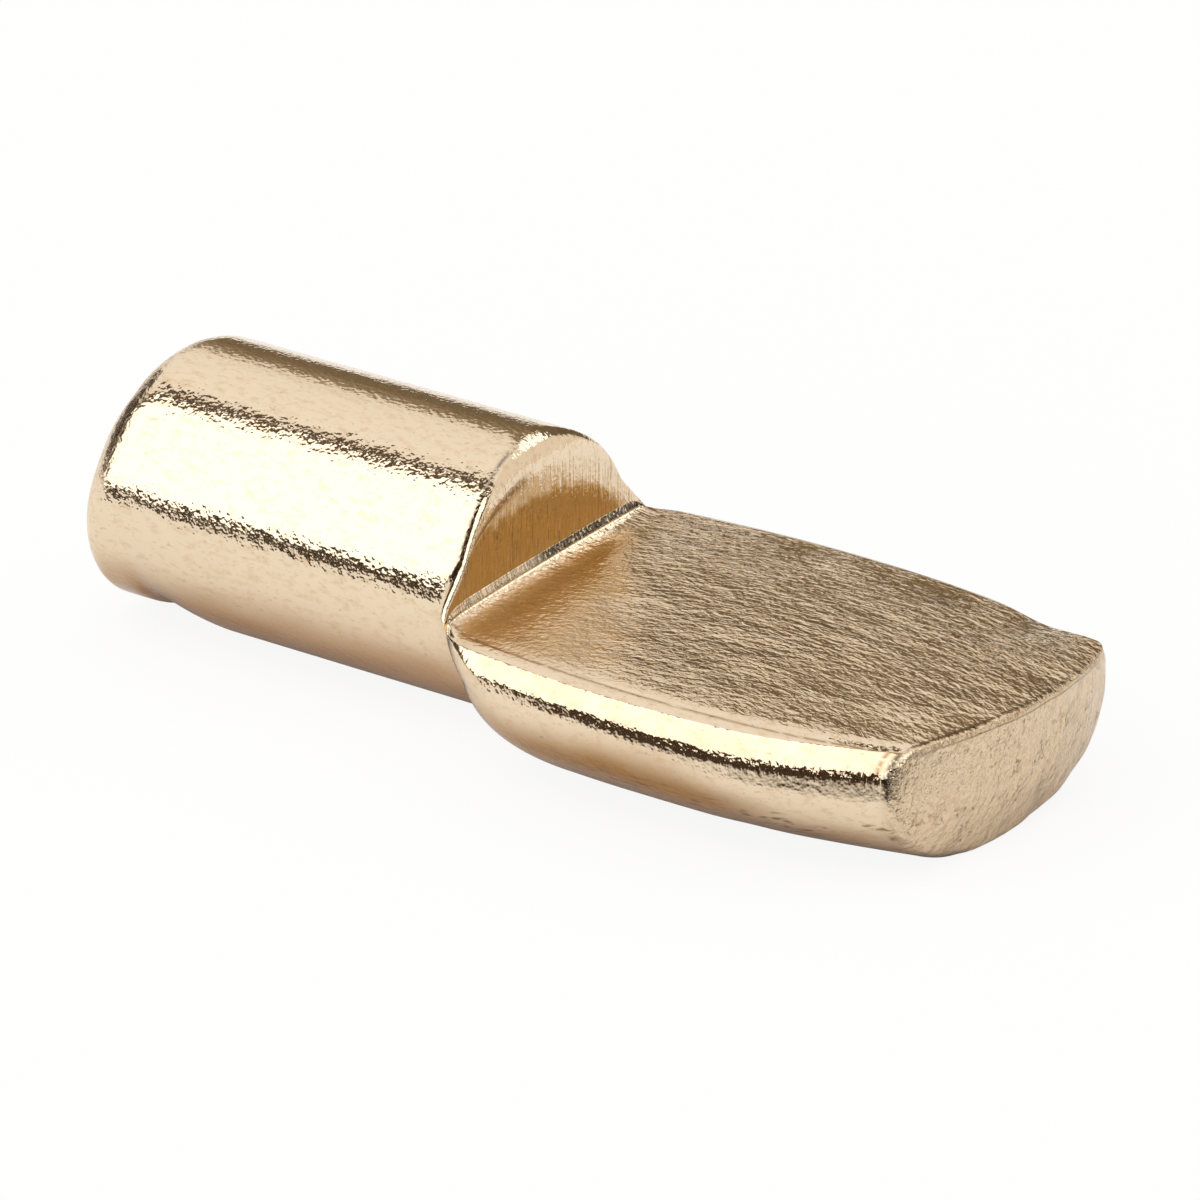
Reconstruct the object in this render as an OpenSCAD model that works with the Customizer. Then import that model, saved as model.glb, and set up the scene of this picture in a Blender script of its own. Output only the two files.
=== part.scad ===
/* [Pin] */
// Diameter of the round pin, a clearance fit in a 1/4 inch hole
pin_d = 6.2; // [5:0.1:6.8]
// Length of the pin from the step to the middle of its cropped end
pin_len = 10.2; // [8:0.1:14]
// Rounding round the cropped end of the pin
pin_end_r = 0.95; // [0.4:0.05:1.3]
// Lean of the cropped end from square, in degrees, the top being the shorter side
crop_lean = 8.5; // [2:0.5:12]

/* [Step] */
// Height of the shelf seat above the pin's axis
seat_h = 0.2; // [0:0.05:0.6]
// Hollow fillet between the step and the seat
step_fillet = 0.4; // [0.2:0.05:0.8]
// Rounding of the step at the top of the pin, which fades out down the sides
crest_r = 0.75; // [0.3:0.05:1.1]

/* [Blade] */
// Length of the blade from the step to the middle of its tip
blade_len = 12.2; // [10:0.1:16]
// Width of the blade at its widest
blade_w = 9.3; // [8.4:0.1:11]
// Distance from the step to the widest place
wide_at = 5; // [4:0.1:6.5]
// Plan radius of the long sides
side_r = 30; // [24:1:60]
// Depth of the sides' widest line below the seat
side_drop = 1.05; // [0.8:0.05:1.4]
// Distance by which the seat's edge lies inside the widest line
edge_inset = 0.47; // [0.2:0.01:0.7]
// Depth by which the round belly is struck flat along its keel, level with the pin's underside
keel_strike = 0.15; // [0.05:0.01:0.4]

/* [Shoulder] */
// Distance before the step at which the shoulder leaves the pin at the height of the seat
shoulder_lead = 0.2; // [0.05:0.05:0.6]
// Length over which the shoulder swells to the full width at the height of the seat
shoulder_top_len = 1; // [0.6:0.05:2]
// Distance past the step at which the shoulder leaves the pin along the belly
shoulder_lag = 0.9; // [0.4:0.05:1.4]
// Length over which the shoulder swells to the full depth along the belly
shoulder_belly_len = 3.3; // [2:0.1:4.5]

/* [Tip] */
// Plan radius of the bowed tip
tip_bow_r = 8.3; // [7:0.1:20]
// Angle by which the tip is turned from square, in degrees
tip_turn = 7; // [0:0.5:9]
// Distance by which the tip's lower edge draws back under the seat
tip_draw = 0.85; // [0.3:0.05:1.4]
// Rounding of the edge between the sides and the tip
tip_edge_r = 0.35; // [0.15:0.05:0.6]

/* [Hidden] */
$fn = 96;

pin_r = pin_d / 2;
wide_z = seat_h - side_drop;
// Margin by which one solid runs on inside or past another
lap = 0.05;
// Height by which the blade's neck stands proud of the pin, and the struck keel that trims it
proud = lap / 2;
keel_z = -pin_r - 3 / 4 * proud;
belly_z = keel_z - keel_strike;
neck_len = 4 * lap;
reach = 2 * (pin_len + blade_len);
core_end = step_fillet + crest_r;

// Steps of the blade's loft: along it and its neck, up the side, round the belly, over the top and the tip
long_steps = 28;
neck_steps = 2;
side_steps = 6;
belly_steps = 12;
top_steps = 8;
edge_steps = 4;
half_steps = side_steps + belly_steps;
ring_size = 2 * half_steps + top_steps;
ring_count = long_steps + edge_steps + 1;
// Height of the loft's top in side drops above the widest line, and the arch across it
loft_rise = 1.7;
loft_arch = 0.2;
// Share of a half section that lies above the widest line
side_share = 0.35;

function blend(a, b, t) = a + (b - a) * t;
function unit(t) = min(1, max(0, t));
// Quarter ellipse that rises steeply from 0 and levels out at 1
function swell(t) = sqrt(1 - pow(1 - unit(t), 2));

function half_width(x) = blade_w / 2 - side_r + sqrt(side_r * side_r - pow(x - wide_at, 2));

// Height of a side point in side drops above the widest line
function rise(k) = loft_rise * (1 - k / side_steps);

// Share of the half section's way from the seat's edge to the keel
function share(k) = k <= side_steps
    ? side_share * unit(1 - rise(k))
    : blend(side_share, 1, (k - side_steps) / belly_steps);

// Place where the shoulder leaves the pin, and how far it has swelled to the blade's section
function shoulder_at(k) = blend(-shoulder_lead, shoulder_lag, share(k));
function swelled(x, k) =
    swell((x - shoulder_at(k)) / blend(shoulder_top_len, shoulder_belly_len, share(k)));

// Radius of the neck: sunk in the pin at the first ring, then a hair proud of it up to the seat
function neck_r(u, k) =
    let (fade = unit((rise(k) - 1) / (loft_rise - 1)))
    pin_r + (u == 0 ? -lap : blend(proud, -lap, fade));

// Half section above the widest line
function side_point(x, k, round_r) =
    let (z = wide_z + side_drop * rise(k))
    let (round_y = sqrt(round_r * round_r - z * z))
    let (blade_y = half_width(x) - edge_inset * pow(rise(k), 2))
    [x, blend(round_y, blade_y, swelled(x, k)), z];

// Half section below the widest line
function belly_point(x, k, round_r) =
    let (way = (k - side_steps) / belly_steps)
    let (turn = blend(asin(wide_z / round_r), -90, way))
    let (blade_y = half_width(x) * cos(90 * way))
    let (blade_z = blend(wide_z, belly_z, sin(90 * way)))
    [
        x,
        blend(round_r * cos(turn), blade_y, swelled(x, k)),
        blend(round_r * sin(turn), blade_z, swelled(x, k))
    ];

// Place along the blade after u steps: two for the neck, then crowded towards the shoulder
function along(u, k) =
    let (way = unit((u - neck_steps) / (long_steps - neck_steps)))
    u < neck_steps
        ? -shoulder_lead - neck_len * (1 - u / neck_steps)
        : blend(shoulder_at(k), blade_len - tip_edge_r, way * way);

// Point of a half section after u steps
function half_point(u, k) =
    let (turn = 90 * max(0, u - long_steps) / edge_steps)
    let (x = along(u, k) + tip_edge_r * sin(turn))
    let (round_r = neck_r(u, k))
    let (p = k <= side_steps ? side_point(x, k, round_r) : belly_point(x, k, round_r))
    drawn_in(p, tip_edge_r * (1 - cos(turn)));

// Point drawn in by the rounding of the tip's edge
function drawn_in(p, inset) = [
    p[0],
    p[1] * (1 - inset / (blade_w / 2)),
    p[2] > wide_z ? p[2] : wide_z + (p[2] - wide_z) * (1 - inset / (wide_z - belly_z))
];

// Point at a share of the way from a side point to the one opposite, under an arch
function across(p, way, arch = 0) = [p[0], p[1] * (1 - 2 * way), p[2] + 4 * arch * way * (1 - way)];

// Forward shift that bows, turns and draws back the tip, and grows from the widest place on
function bowed(p) =
    let (depth = unit((seat_h - p[2]) / (seat_h - belly_z)))
    let (full = p[1] * tan(tip_turn) - p[1] * p[1] / (2 * tip_bow_r) - tip_draw * pow(depth, 3))
    p + [full * pow(unit((p[0] - wide_at) / (blade_len - wide_at)), 2), 0, 0];

// Closed ring: down one side, up the other and back across the top
function ring(u) = [
    for (k = [0 : half_steps]) bowed(half_point(u, k)),
    for (k = [half_steps - 1 : -1 : 0]) bowed(across(half_point(u, k), 1)),
    for (m = [1 : top_steps - 1]) bowed(across(half_point(u, 0), 1 - m / top_steps, loft_arch))
];

// Rows of points across the tip's face, between the two sides of the last ring
function tip_rows() = [
    for (k = [1 : half_steps - 1], m = [1 : top_steps - 1])
        bowed(across(half_point(ring_count - 1, k), m / top_steps))
];

function tip_id(k, m) =
    let (last = (ring_count - 1) * ring_size)
    k == half_steps ? last + half_steps :
    m == 0 ? last + k :
    m == top_steps ? last + 2 * half_steps - k :
    k == 0 ? last + 2 * half_steps + top_steps - m :
    ring_count * ring_size + (k - 1) * (top_steps - 1) + m - 1;

// Forged blade with its rounded shoulder, still full above the seat
module blade_blank() {
    skin = [for (u = [0 : ring_count - 1]) each ring(u)];
    walls = [for (i = [0 : ring_count - 2], j = [0 : ring_size - 1])
        let (next = (j + 1) % ring_size)
        [i * ring_size + j, i * ring_size + next, (i + 1) * ring_size + next, (i + 1) * ring_size + j]];
    root_top = [[0, for (j = [ring_size - 1 : -1 : 2 * half_steps]) j]];
    root_face = [for (k = [0 : half_steps - 2]) [k, 2 * half_steps - k, 2 * half_steps - k - 1, k + 1]];
    root_foot = [[half_steps - 1, half_steps + 1, half_steps]];
    tip_face = [for (k = [0 : half_steps - 2], m = [0 : top_steps - 1])
        [tip_id(k, m), tip_id(k + 1, m), tip_id(k + 1, m + 1), tip_id(k, m + 1)]];
    tip_foot = [for (m = [0 : top_steps - 1])
        [tip_id(half_steps - 1, m), tip_id(half_steps, m), tip_id(half_steps - 1, m + 1)]];
    polyhedron(
        concat(skin, tip_rows()),
        concat(walls, root_top, root_face, root_foot, tip_face, tip_foot)
    );
}

// Solid of revolution along +X from a profile drawn as radius and distance
module revolved_along_x() {
    rotate([0, 90, 0])
        rotate_extrude()
            children();
}

// Rounded end that opens out behind by the lean, so that its short side lies along the pin
module crop_former() {
    end_r = pin_r / cos(crop_lean) + lap;
    centre_r = end_r - pin_end_r * (1 - sin(crop_lean)) / cos(crop_lean);
    translate([-pin_len, 0, 0])
        rotate([0, crop_lean, 0])
            revolved_along_x() {
                polygon([
                    [0, 0],
                    [centre_r, 0],
                    [centre_r + pin_end_r * cos(crop_lean), pin_end_r * (1 - sin(crop_lean))],
                    [end_r + reach * tan(crop_lean), reach],
                    [0, reach]
                ]);
                intersection() {
                    translate([centre_r, pin_end_r])
                        circle(pin_end_r);
                    square([reach, reach]);
                }
            }
}

// Round wire from the cropped end to inside the blade
module pin_blank() {
    intersection() {
        translate([-reach / 2, 0, 0])
            revolved_along_x()
                square([pin_r, reach / 2 + core_end]);
        crop_former();
    }
}

// Space over the seat, with the hollow fillet left standing at the foot of the step
module seat_space() {
    translate([0, reach / 2, seat_h])
        rotate([90, 0, 0])
            linear_extrude(reach)
                difference() {
                    square(reach);
                    difference() {
                        square(step_fillet);
                        translate([step_fillet, step_fillet])
                            circle(step_fillet);
                    }
                }
}

// Space outside a rounded end that stands off centre, so the rounding fades down the sides
module crest_space() {
    drop = 2 * pin_r / 3;
    former_r = pin_r + drop + lap / 2;
    difference() {
        translate([-2 * crest_r, -pin_r, pin_r / 3])
            cube([2 * crest_r + reach, pin_d, pin_r]);
        translate([lap / 2, 0, -drop])
            mirror([1, 0, 0])
                revolved_along_x()
                    difference() {
                        square([former_r, reach]);
                        difference() {
                            translate([former_r - crest_r, 0])
                                square(crest_r);
                            translate([former_r - crest_r, crest_r])
                                circle(crest_r);
                        }
                    }
    }
}

// Space below the struck keel
module keel_space() {
    translate([-reach / 2, -reach / 2, keel_z - reach])
        cube(reach);
}

// One forged piece: a round pin that runs into a flat-topped blade
module support_pin() {
    color("#d8bd8a")
        difference() {
            union() {
                pin_blank();
                blade_blank();
            }
            seat_space();
            crest_space();
            keel_space();
        }
}

support_pin();
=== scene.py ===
"""Looks of a brass-plated steel shelf support pin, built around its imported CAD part."""

import logging
import math
from dataclasses import dataclass, field
from enum import Enum
from typing import Any

import bpy
import numpy as np
from mathutils import Matrix, Vector


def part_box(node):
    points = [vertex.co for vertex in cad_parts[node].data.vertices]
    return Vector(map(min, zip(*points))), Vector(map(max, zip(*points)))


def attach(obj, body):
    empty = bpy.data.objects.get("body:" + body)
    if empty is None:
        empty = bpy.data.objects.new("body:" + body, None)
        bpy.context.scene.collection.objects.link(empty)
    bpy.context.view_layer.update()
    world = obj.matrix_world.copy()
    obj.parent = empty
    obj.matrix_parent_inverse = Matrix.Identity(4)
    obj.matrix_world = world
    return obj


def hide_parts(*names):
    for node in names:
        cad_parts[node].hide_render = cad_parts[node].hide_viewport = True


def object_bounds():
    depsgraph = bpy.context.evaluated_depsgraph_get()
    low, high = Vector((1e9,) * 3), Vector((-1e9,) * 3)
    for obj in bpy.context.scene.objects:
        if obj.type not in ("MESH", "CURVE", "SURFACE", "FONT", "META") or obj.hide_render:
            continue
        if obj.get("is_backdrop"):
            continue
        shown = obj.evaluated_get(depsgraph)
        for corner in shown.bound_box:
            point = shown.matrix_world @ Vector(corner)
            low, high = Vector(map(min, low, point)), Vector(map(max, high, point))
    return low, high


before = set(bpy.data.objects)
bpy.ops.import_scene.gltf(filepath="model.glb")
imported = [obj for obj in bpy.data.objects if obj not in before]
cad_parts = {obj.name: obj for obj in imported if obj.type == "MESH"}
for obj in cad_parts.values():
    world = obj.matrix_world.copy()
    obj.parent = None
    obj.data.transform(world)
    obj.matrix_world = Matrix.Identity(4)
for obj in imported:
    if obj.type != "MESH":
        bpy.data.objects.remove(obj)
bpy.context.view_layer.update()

LOG = logging.getLogger("support_pin")
MM = 0.001
IMAGE_PX = 1200
QUARTER_TURN = math.pi / 2
# Least growth in mm and least length of a normal, which keep a share from being divided by 0.
LEAST_GROWTH = 0.001
LEAST_LENGTH = 1e-9
WHITE = "#ffffff"
Grid = np.ndarray
Pair = tuple[float, float]
Triple = tuple[float, float, float]
Stops = tuple[tuple[float, str], ...]


class Zone(Enum):
    """Parts of the skin that were made in different ways or carry painted shade, each kept as a mask on the
    mesh.
    """

    SEAT = "seat"
    STEP = "step"
    FILLET = "fillet"
    # Painted gold shade and reflection where the step and the seat mirror each other, and a faint gold tint
    # on the bevel.
    NOOK = "nook"
    TIP = "tip"
    CROP = "crop"
    BELLY = "belly"
    # Painted shade in the crease where the shoulder leaves the pin.
    CREASE = "crease"
    # Dark marks: a line behind the near ridge and the tip's torn near edge, with painted dark reflection in
    # the fillet's far part and past the shoulder's crease.
    SOOT = "soot"
    RIM = "rim"
    HAIR = "hair"
    HAZE = "haze"
    # Painted shade underneath, where the lower sides mirror the shaded floor.
    LOW = "low"


class Span(Enum):
    """Runs of rings from the cropped end to the tip, each with its order and its number of rings."""

    CROP_FACE = (0, 24)
    CROP_ROUND = (1, 20)
    WALL = (2, 96)
    NECK = (3, 14)
    FLARE = (4, 12)
    RIDGE = (5, 20)
    FACE = (6, 18)
    FILLET = (7, 14)
    TOE = (8, 14)
    BLADE = (9, 104)
    TIP_ROUND = (10, 14)
    TIP_FACE = (11, 30)

    @property
    def rings(self) -> int:
        """Number of rings in the run."""
        return self.value[1]

    def way(self) -> Grid:
        """Way through the run at each of its rings, ending at 1."""
        return np.arange(1, self.rings + 1) / self.rings


# Runs whose rings follow the seat's edge, and those of them that crowd towards their start.
EDGE_SPANS = (Span.NECK, Span.FLARE, Span.RIDGE, Span.FACE, Span.FILLET, Span.TOE, Span.BLADE)
CROWDED_SPANS = (Span.FLARE, Span.TOE)
SEAT_SPANS = (Span.TOE, Span.BLADE, Span.TIP_ROUND)


def linear(code: str) -> tuple[float, float, float, float]:
    """Turn an sRGB hex colour to linear.

    Args:
        code: Colour as six hex digits after a hash sign.

    Returns:
        Linear red, green and blue, then an alpha of 1.
    """
    parts = [int(code[i : i + 2], 16) / 255 for i in (1, 3, 5)]
    red, green, blue = [p / 12.92 if p <= 0.04045 else ((p + 0.055) / 1.055) ** 2.4 for p in parts]
    return red, green, blue, 1.0


def add_node(
    tree: bpy.types.NodeTree, kind: str, inputs: dict[Any, Any] | None = None, **settings: Any
) -> bpy.types.NodeOutputs:
    """Add one node, with its settings, constants and incoming links.

    Args:
        tree: Node tree that takes the node.
        kind: Blender's name of the node type, without the word ShaderNode.
        inputs: Socket name or number to a constant, or to the output socket that feeds it.
        settings: Properties of the node itself.

    Returns:
        The new node's output sockets.
    """
    node = tree.nodes.new("ShaderNode" + kind)
    for name, value in settings.items():
        setattr(node, name, value)
    for key, value in (inputs or {}).items():
        if isinstance(value, bpy.types.NodeSocket):
            tree.links.new(value, node.inputs[key])
        else:
            node.inputs[key].default_value = value
    return node.outputs


def ramp(value: Any, start: Any = 0.0, run: Any = 1.0) -> Any:
    """Rise from 0 to 1 over a run by 3t squared less 2t cubed, or fall where the run is below 0."""
    t = np.clip((value - start) / run, 0.0, 1.0)
    return t * t * (3.0 - 2.0 * t)


def bell(value: Any, middle: Any, width: Any) -> Any:
    """Fade from 1 in the middle to both sides: e to the minus square of the distance in widths."""
    return np.exp(-(((value - middle) / width) ** 2))


def swell(t: Grid) -> Grid:
    """Quarter ellipse that rises steeply from 0 and levels out at 1."""
    return np.sqrt(np.maximum(0.0, 1.0 - (1.0 - np.clip(t, 0.0, 1.0)) ** 2))


def blend(a: Any, b: Any, t: Any) -> Any:
    """Mix from a at 0 to b at 1."""
    return a + (b - a) * t


class ValueNoise:
    """Smooth noise from a seeded table of values on the corners of a cubic lattice."""

    TABLE_SIZE = 4096
    PRIMES = (73856093, 19349663, 83492791)

    def __init__(self, seed: int) -> None:
        """Fill the table from the seed."""
        self.table = np.random.default_rng(seed).random(self.TABLE_SIZE) * 2.0 - 1.0

    def corner(self, cell: Grid) -> Grid:
        """Look up the value of each lattice corner by mixing its three whole numbers."""
        a, b, c = (cell[..., n] * prime for n, prime in enumerate(self.PRIMES))
        return self.table[(a ^ b ^ c) & (self.TABLE_SIZE - 1)]

    def at(self, points: Grid, size: float) -> Grid:
        """Sample the noise: corner values blended along the three axes by the smooth rise.

        Args:
            points: Points in mm, in the last axis of the array.
            size: Width of a lattice cell in mm.

        Returns:
            Values from -1 to 1.
        """
        scaled = points / size
        base = np.floor(scaled).astype(np.int64)
        part = ramp(scaled - base)
        total = np.zeros(points.shape[:-1])
        for step in np.ndindex(2, 2, 2):
            offset = np.array(step)
            weight = np.prod(np.where(offset == 1, part, 1.0 - part), axis=-1)
            total += weight * self.corner(base + offset)
        return total


@dataclass(frozen=True)
class Wave:
    """One smooth noise over the skin, whose cells are of a size in mm and squeezed along the axes.

    High is its height in mm, or its swing where it wavers a mask.
    """

    high: float
    size: float
    seed: int
    zone: Zone | None = None
    squeeze: Triple = (1.0, 1.0, 1.0)

    def at(self, points: Grid) -> Grid:
        """Sample the wave at points in mm: the seeded noise of the squeezed points, times the height."""
        return self.high * ValueNoise(self.seed).at(points * np.array(self.squeeze), self.size)


@dataclass(frozen=True)
class RingLayout:
    """Shares the points of a ring out between the top, the two sides and the belly.

    A ring runs over the top from the far edge to the near one, then down the near side, round the
    belly and up the far side.
    """

    top_points: int = 107
    side_points: int = 22
    belly_points: int = 53
    edge_rise: float = 0.86
    side_share: float = 0.35

    def half(self) -> tuple[Grid, Grid, Grid]:
        """Give the half section below the edge.

        Returns:
            Height in side drops above the widest line, way round the belly from 0 to 1, and the
            share of the whole way from the edge to the keel.
        """
        k = np.arange(1, self.side_points + self.belly_points + 1)
        rise = self.edge_rise * np.clip(1.0 - k / self.side_points, 0.0, 1.0)
        way = np.clip((k - self.side_points) / self.belly_points, 0.0, 1.0)
        on_side = self.side_share * (1.0 - rise / self.edge_rise)
        share = np.where(k <= self.side_points, on_side, blend(self.side_share, 1.0, way))
        return rise, way, share

    def both(self, half: Grid) -> Grid:
        """Carry a half section's values down the near side and back up the far side."""
        return np.concatenate([half, half[-2::-1]])

    def sign(self) -> Grid:
        """Give -1 on the near side and the keel, and 1 on the far side."""
        count = self.side_points + self.belly_points
        return np.concatenate([-np.ones(count), np.ones(count - 1)])

    def across(self) -> Grid:
        """Give the places over the top from 1 at the far edge to -1 at the near one."""
        return np.linspace(1.0, -1.0, self.top_points)


@dataclass(frozen=True)
class PinWire:
    """Round drawn wire with a cropped end. Sizes are in mm."""

    radius: float = 3.1
    length: float = 10.2
    lean_deg: float = 8.5
    neck_at: float = -1.3
    # Rounding of the end along the wall and towards the axis, at the top and underneath.
    round_long: float = 0.95
    round_long_low: float = 0.62
    round_deep: float = 0.82
    round_deep_low: float = 0.66
    # Pinch of the crop under the end, and the dent at its start, steeper towards the end.
    pinch_depth: float = 0.16
    pinch_run: float = 1.9
    pinch_stop: float = -4.0
    dent_depth: float = 0.1
    dent_at: float = -8.9
    dent_steep: float = 0.2
    dent_easy: float = 0.62
    # Way round the pin from straight below towards the near side, and the radius past which it shows.
    dent_turn_deg: Pair = (30.0, 38.0)
    dent_radius: Pair = (1.2, 1.2)

    def end_plane(self, z: Grid) -> Grid:
        """Place of the leaning end face along X at a height."""
        return -self.length + z * math.tan(math.radians(self.lean_deg))

    def shell(self, unit_y: Grid, unit_z: Grid) -> Grid:
        """Build the cropped end, its rounded rim and the wall up to the neck.

        The end is a leaning plane, the rim a quarter ellipse that is larger at the top, and the wall
        a straight run. Each point keeps to its own direction from the axis.

        Args:
            unit_y: Y of each ring point's direction from the axis.
            unit_z: Z of each ring point's direction from the axis.

        Returns:
            Points as rings by ring points by three.
        """
        high = ramp(unit_z, -1.0, 2.0)
        deep = blend(self.round_deep_low, self.round_deep, high)
        long = blend(self.round_long_low, self.round_long, high)
        turn = Span.CROP_ROUND.way()[:, None] * QUARTER_TURN
        reach = np.concatenate([
            (self.radius - deep) * Span.CROP_FACE.way()[:, None],
            self.radius - deep * (1.0 - np.sin(turn)),
            np.full((Span.WALL.rings, unit_z.size), self.radius),
        ])
        y, z = reach * unit_y, reach * unit_z
        x = self.end_plane(z)
        rim = slice(Span.CROP_FACE.rings, Span.CROP_FACE.rings + Span.CROP_ROUND.rings)
        x[rim] += long * (1.0 - np.cos(turn))
        x[rim.stop :] = blend(x[rim.stop] + long, self.neck_at, Span.WALL.way()[:, None])
        return np.stack([x, y, z], axis=-1)

    def dent(self, points: Grid) -> Grid:
        """Give the pinch that the crop left under the end, on the near lower side.

        The end's underside lies in by the pinch, which runs out along the pin, and a dent with a
        steep side towards the end lies where it begins to run out. Both fade round the pin by a bell.

        Args:
            points: Points in mm.

        Returns:
            Depth in mm, below 0.
        """
        x, y, z = np.moveaxis(points, -1, 0)
        past = x - self.dent_at
        width = np.where(past < 0.0, self.dent_steep, self.dent_easy)
        pinch = self.pinch_depth * (1.0 - ramp(past, 0.0, self.pinch_run))
        depth = pinch + self.dent_depth * bell(past, 0.0, width)
        turn = np.degrees(np.arctan2(-y, -z))
        outer = ramp(np.hypot(y, z), *self.dent_radius)
        return -depth * bell(turn, *self.dent_turn_deg) * outer * (x < self.pinch_stop)


@dataclass(frozen=True)
class ForgedBlade:
    """Flat-topped blade with its shoulder, belly and sheared tip. Sizes are in mm."""

    seat_h: float = 0.2
    length: float = 12.2
    width: float = 9.3
    wide_at: float = 5.0
    side_r: float = 30.0
    side_drop: float = 1.05
    edge_inset: float = 0.47
    side_power: float = 3.0
    crown: float = 0.06
    # Roll-off of the seat to its edges, and the gentler one along the near edge.
    near_roll: float = 0.3
    far_roll: float = 0.06
    soft_roll: float = 0.9
    soft_drop: float = 0.045
    # Keel, and the softness of the bend where it was struck flat.
    keel_z: float = -3.119
    keel_strike: float = 0.15
    keel_soft: float = 0.02
    # Shoulder between the pin and the blade, at the seat's edge and along the belly.
    shoulder_lead: float = 0.2
    shoulder_top_len: float = 1.0
    shoulder_lag: float = 0.9
    shoulder_belly_len: float = 3.3
    # Tip: bow, turn, draw, roundings, middle of its face, and the near side's bend inwards to it.
    tip_bow_r: float = 8.3
    tip_turn_deg: float = 7.0
    tip_draw: float = 0.85
    tip_edge_r: float = 0.35
    tip_top_r: float = 0.13
    tip_top_rise: Pair = (0.5, 0.42)
    tip_middle_z: float = -1.2
    tip_inset: float = 0.432
    tip_inset_x: Pair = (8.0, 5.0)
    # Height, then middle and width along X and along Y, of the far edge's sag and its corner's lift.
    sags: tuple[tuple[float, Pair, Pair], ...] = (
        (-0.13, (10.2, 0.8), (4.2, 1.0)),
        (0.05, (11.6, 0.5), (3.7, 0.6)),
    )
    sag_fade: float = 0.6
    # Parting flat: height, then middle, bell and wave in side drops above the widest line.
    parting_h: float = 0.0042
    parting_at: float = 0.37
    parting_bell: float = 0.2
    parting_wave: float = 0.4
    parting_x: Pair = (0.6, 1.0)
    parting_y: Pair = (3.0, 0.6)

    @property
    def wide_z(self) -> float:
        """Height of the widest line."""
        return self.seat_h - self.side_drop

    @property
    def belly_z(self) -> float:
        """Lowest height of the belly's round, before the keel is struck flat."""
        return self.keel_z - self.keel_strike

    @property
    def last_x(self) -> float:
        """Place along X where the tip's rounding starts."""
        return self.length - self.tip_edge_r

    def half_width(self, x: Grid, side: Grid) -> Grid:
        """Half width at a place along X, on the near side where side is below 0.

        It is an arc of the side radius about the widest place, and the near side bends in to the tip.

        Args:
            x: Places along X.
            side: Below 0 on the near side.

        Returns:
            Half widths in mm.
        """
        arc = self.width / 2 - self.side_r + np.sqrt(self.side_r**2 - (x - self.wide_at) ** 2)
        return arc - self.tip_inset * ramp(x, *self.tip_inset_x) * (side < 0.0)

    def shoulder_at(self, share: Grid) -> Grid:
        """Place along X where the shoulder leaves the pin, later towards the keel."""
        return blend(-self.shoulder_lead, self.shoulder_lag, share)

    def swelled(self, x: Grid, share: Grid) -> Grid:
        """How far the shoulder has swelled from the pin's round to the blade's section."""
        run = blend(self.shoulder_top_len, self.shoulder_belly_len, share)
        return swell((x - self.shoulder_at(share)) / run)

    def edge_y(self, x: Grid, round_y: float, rise: float, side: Grid) -> Grid:
        """Half width of the seat: swells from the pin's round to the blade's edge.

        Args:
            x: Places along X.
            round_y: Half width of the pin at the seat's edge.
            rise: Height of the edge in side drops above the widest line.
            side: Below 0 on the near side.

        Returns:
            Half widths in mm.
        """
        full = self.half_width(x, side) - self.edge_inset * rise**self.side_power
        return blend(round_y, full, self.swelled(x, np.zeros_like(x)))

    def under(self, x: Grid, layout: RingLayout, round_r: float) -> tuple[Grid, Grid]:
        """Build the sides and belly at places along X.

        The side falls from the edge on a cubic to the widest line, and the belly is half an
        ellipse under it. Before the shoulder both lie on the pin's round.

        Args:
            x: Places along X, one column for each point below the edge.
            layout: Shares the points out.
            round_r: Radius of the pin.

        Returns:
            Y and Z of the points.
        """
        rise, way, share = (layout.both(h) for h in layout.half())
        side = way <= 0.0
        z_side = self.wide_z + self.side_drop * rise
        turn = blend(math.asin(self.wide_z / round_r), -QUARTER_TURN, way)
        y_round = np.where(side, np.sqrt(round_r**2 - z_side**2), round_r * np.cos(turn))
        z_round = np.where(side, z_side, round_r * np.sin(turn))
        half = self.half_width(x, layout.sign())
        edge = half - self.edge_inset * rise**self.side_power
        y_blade = np.where(side, edge, half * np.cos(way * QUARTER_TURN))
        deep = blend(self.wide_z, self.belly_z, np.sin(way * QUARTER_TURN))
        z_blade = np.where(side, z_side, deep)
        grown = self.swelled(x, share)
        y = blend(y_round, y_blade, grown) * layout.sign()
        return y, blend(z_round, z_blade, grown)

    def seat_z(self, y: Grid, edge: Grid) -> Grid:
        """Height of the seat: a slight crown, and a roll-off that bends down to the edge.

        Args:
            y: Places across the seat.
            edge: Half width of the seat at those places.

        Returns:
            Heights.
        """
        inward = edge - np.abs(y)
        roll = np.where(y < 0.0, self.near_roll, self.far_roll)
        inside = np.clip(1.0 - inward / roll, 0.0, 1.0)
        soft = np.where(y < 0.0, self.soft_drop, 0.0)
        gentle = soft * np.clip(1.0 - inward / self.soft_roll, 0.0, 1.0) ** 2
        drop = self.side_drop * (1.0 - RingLayout.edge_rise) - self.crown - soft
        return self.seat_h - self.crown * (y / edge) ** 2 - gentle - drop * inside**2

    def bowed(self, points: Grid) -> Grid:
        """Bow, turn and draw back the tip, by a shift along X that grows from the widest place on.

        The shift is the turn's slope, less the bow's parabola, less the draw by the cube of the depth.

        Args:
            points: Points in mm.

        Returns:
            The moved points.
        """
        x, y, z = np.moveaxis(points, -1, 0)
        depth = np.clip((self.seat_h - z) / (self.seat_h - self.belly_z), 0.0, 1.0)
        turn = y * math.tan(math.radians(self.tip_turn_deg))
        full = turn - y**2 / (2 * self.tip_bow_r) - self.tip_draw * depth**3
        grow = np.clip((x - self.wide_at) / (self.length - self.wide_at), 0.0, 1.0) ** 2
        return np.stack([x + full * grow, y, z], axis=-1)

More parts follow.
